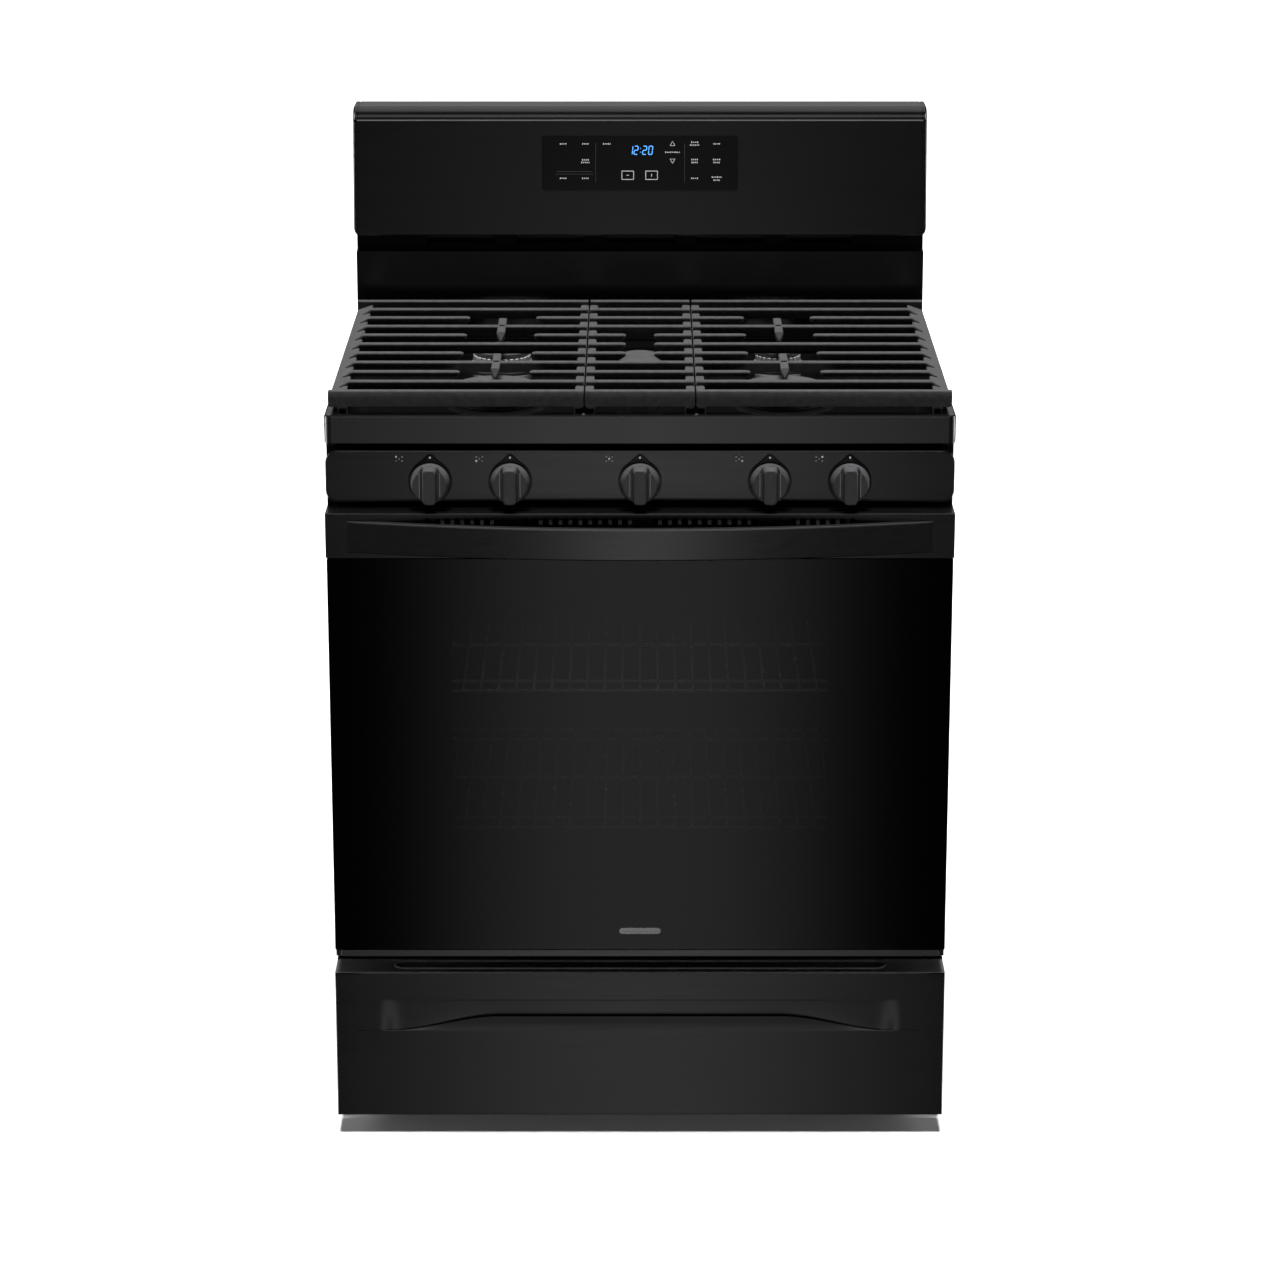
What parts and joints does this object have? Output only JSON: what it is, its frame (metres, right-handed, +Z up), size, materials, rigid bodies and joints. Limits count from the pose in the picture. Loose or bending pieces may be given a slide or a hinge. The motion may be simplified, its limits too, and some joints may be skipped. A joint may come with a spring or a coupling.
{
  "type": "freestanding gas range",
  "caption": "Freestanding gas range with a backguard, continuous grates over sealed burners, front knobs, a glass-front oven door with a bowed handle, and a storage drawer.",
  "frame": {"origin": "on the floor under the middle of the range's box, handle and backguard included", "axes": "+Z up, the range faces -Y, +X to the right of someone facing the range"},
  "size_m": [0.7588, 0.733, 1.192],
  "materials": {
    "black_steel": "satin",
    "black_paint": "satin",
    "black_enamel": "gloss",
    "door_glass": "gloss",
    "inner_glass": "gloss",
    "overlay": "gloss",
    "cast_iron": "matte",
    "galvanised": "satin",
    "chrome": "gloss",
    "aluminium": "satin",
    "wool": "matte",
    "seal": "matte",
    "brass": "satin",
    "knob": "satin",
    "nylon": "matte"
  },
  "bodies": {
    "root": {"base_frame": "black_paint", "leveling_leg_left_front": "nylon", "leveling_leg_left_rear": "nylon", "leveling_leg_right_front": "nylon", "leveling_leg_right_rear": "nylon", "side_panel_left": "black_paint", "side_panel_right": "black_paint", "rear_panel": "galvanised", "cord_gland": "nylon", "oven_cavity": "black_enamel", "oven_insulation": "wool", "oven_floor": "black_enamel", "bake_burner": "aluminium", "broil_burner": "aluminium", "oven_lamp": "inner_glass", "door_gasket": "seal", "door_hinge_left": "galvanised", "door_hinge_right": "galvanised", "drawer_rail_frame": "galvanised", "manifold_panel": "black_steel", "gas_manifold": "aluminium", "gas_supply": "brass", "cooktop": "black_enamel", "burner_base_left_front": "aluminium", "burner_base_left_rear": "aluminium", "burner_base_centre": "aluminium", "burner_base_right_front": "aluminium", "burner_base_right_rear": "aluminium", "backguard_riser": "black_steel", "backguard_console": "black_steel", "backguard_rear_cover": "galvanised", "control_overlay": "overlay"},
    "door": {"door_frame": "black_steel", "door_outer_glass": "door_glass", "door_inner_glass": "inner_glass", "door_liner": "black_enamel", "door_top_trim": "black_steel", "door_handle": "black_steel"},
    "drawer": {"drawer_front": "black_steel", "drawer_pan": "galvanised"},
    "stem_left_rear": {"valve_stem_left_rear": "aluminium"},
    "knob_left_rear": {"knob_left_rear": "knob"},
    "stem_left_front": {"valve_stem_left_front": "aluminium"},
    "knob_left_front": {"knob_left_front": "knob"},
    "stem_centre": {"valve_stem_centre": "aluminium"},
    "knob_centre": {"knob_centre": "knob"},
    "stem_right_front": {"valve_stem_right_front": "aluminium"},
    "knob_right_front": {"knob_right_front": "knob"},
    "stem_right_rear": {"valve_stem_right_rear": "aluminium"},
    "knob_right_rear": {"knob_right_rear": "knob"},
    "rack_lower": {"oven_rack_lower": "chrome"},
    "rack_upper": {"oven_rack_upper": "chrome"},
    "grate_left": {"grate_left": "cast_iron"},
    "grate_centre": {"grate_centre": "cast_iron"},
    "grate_right": {"grate_right": "cast_iron"},
    "cap_left_front": {"burner_cap_left_front": "cast_iron"},
    "cap_left_rear": {"burner_cap_left_rear": "cast_iron"},
    "cap_centre": {"burner_cap_centre": "cast_iron"},
    "cap_right_front": {"burner_cap_right_front": "cast_iron"},
    "cap_right_rear": {"burner_cap_right_rear": "cast_iron"}
  },
  "joints": [
    {"name": "door_hinge", "type": "hinge", "parent": "root", "child": "door", "pos_m": [0, -0.2845, 0.265], "axis": [1, 0, 0], "range_deg": [0, 90], "stiffness_Nm_per_rad": 30, "springref_deg": -14.32},
    {"name": "drawer_slide", "type": "slide", "parent": "root", "child": "drawer", "axis": [0, -1, 0], "range_m": [0, 0.4]},
    {"name": "knob_push_left_rear", "type": "slide", "parent": "root", "child": "stem_left_rear", "axis": [0, 1, 0], "range_m": [0, 0.003], "stiffness_N_per_m": 1500},
    {"name": "knob_turn_left_rear", "type": "hinge", "parent": "stem_left_rear", "child": "knob_left_rear", "pos_m": [-0.2523, -0.2955, 0.833], "axis": [0, -1, 0], "range_deg": [0, 240]},
    {"name": "knob_push_left_front", "type": "slide", "parent": "root", "child": "stem_left_front", "axis": [0, 1, 0], "range_m": [0, 0.003], "stiffness_N_per_m": 1500},
    {"name": "knob_turn_left_front", "type": "hinge", "parent": "stem_left_front", "child": "knob_left_front", "pos_m": [-0.156, -0.2955, 0.833], "axis": [0, -1, 0], "range_deg": [0, 240]},
    {"name": "knob_push_centre", "type": "slide", "parent": "root", "child": "stem_centre", "axis": [0, 1, 0], "range_m": [0, 0.003], "stiffness_N_per_m": 1500},
    {"name": "knob_turn_centre", "type": "hinge", "parent": "stem_centre", "child": "knob_centre", "pos_m": [0, -0.2955, 0.833], "axis": [0, -1, 0], "range_deg": [0, 240]},
    {"name": "knob_push_right_front", "type": "slide", "parent": "root", "child": "stem_right_front", "axis": [0, 1, 0], "range_m": [0, 0.003], "stiffness_N_per_m": 1500},
    {"name": "knob_turn_right_front", "type": "hinge", "parent": "stem_right_front", "child": "knob_right_front", "pos_m": [0.156, -0.2955, 0.833], "axis": [0, -1, 0], "range_deg": [0, 240]},
    {"name": "knob_push_right_rear", "type": "slide", "parent": "root", "child": "stem_right_rear", "axis": [0, 1, 0], "range_m": [0, 0.003], "stiffness_N_per_m": 1500},
    {"name": "knob_turn_right_rear", "type": "hinge", "parent": "stem_right_rear", "child": "knob_right_rear", "pos_m": [0.2523, -0.2955, 0.833], "axis": [0, -1, 0], "range_deg": [0, 240]},
    {"name": "rack_slide_lower", "type": "slide", "parent": "root", "child": "rack_lower", "axis": [0, -1, 0], "range_m": [0, 0.055]},
    {"name": "rack_slide_upper", "type": "slide", "parent": "root", "child": "rack_upper", "axis": [0, -1, 0], "range_m": [0, 0.055]},
    {"name": "grate_lift_left", "type": "slide", "parent": "root", "child": "grate_left", "axis": [0, 0, 1], "range_m": [0, 0.15]},
    {"name": "grate_lift_centre", "type": "slide", "parent": "root", "child": "grate_centre", "axis": [0, 0, 1], "range_m": [0, 0.15]},
    {"name": "grate_lift_right", "type": "slide", "parent": "root", "child": "grate_right", "axis": [0, 0, 1], "range_m": [0, 0.15]},
    {"name": "cap_lift_left_front", "type": "slide", "parent": "root", "child": "cap_left_front", "axis": [0, 0, 1], "range_m": [0, 0.006]},
    {"name": "cap_lift_left_rear", "type": "slide", "parent": "root", "child": "cap_left_rear", "axis": [0, 0, 1], "range_m": [0, 0.006]},
    {"name": "cap_lift_centre", "type": "slide", "parent": "root", "child": "cap_centre", "axis": [0, 0, 1], "range_m": [0, 0.006]},
    {"name": "cap_lift_right_front", "type": "slide", "parent": "root", "child": "cap_right_front", "axis": [0, 0, 1], "range_m": [0, 0.006]},
    {"name": "cap_lift_right_rear", "type": "slide", "parent": "root", "child": "cap_right_rear", "axis": [0, 0, 1], "range_m": [0, 0.006]}
  ]
}
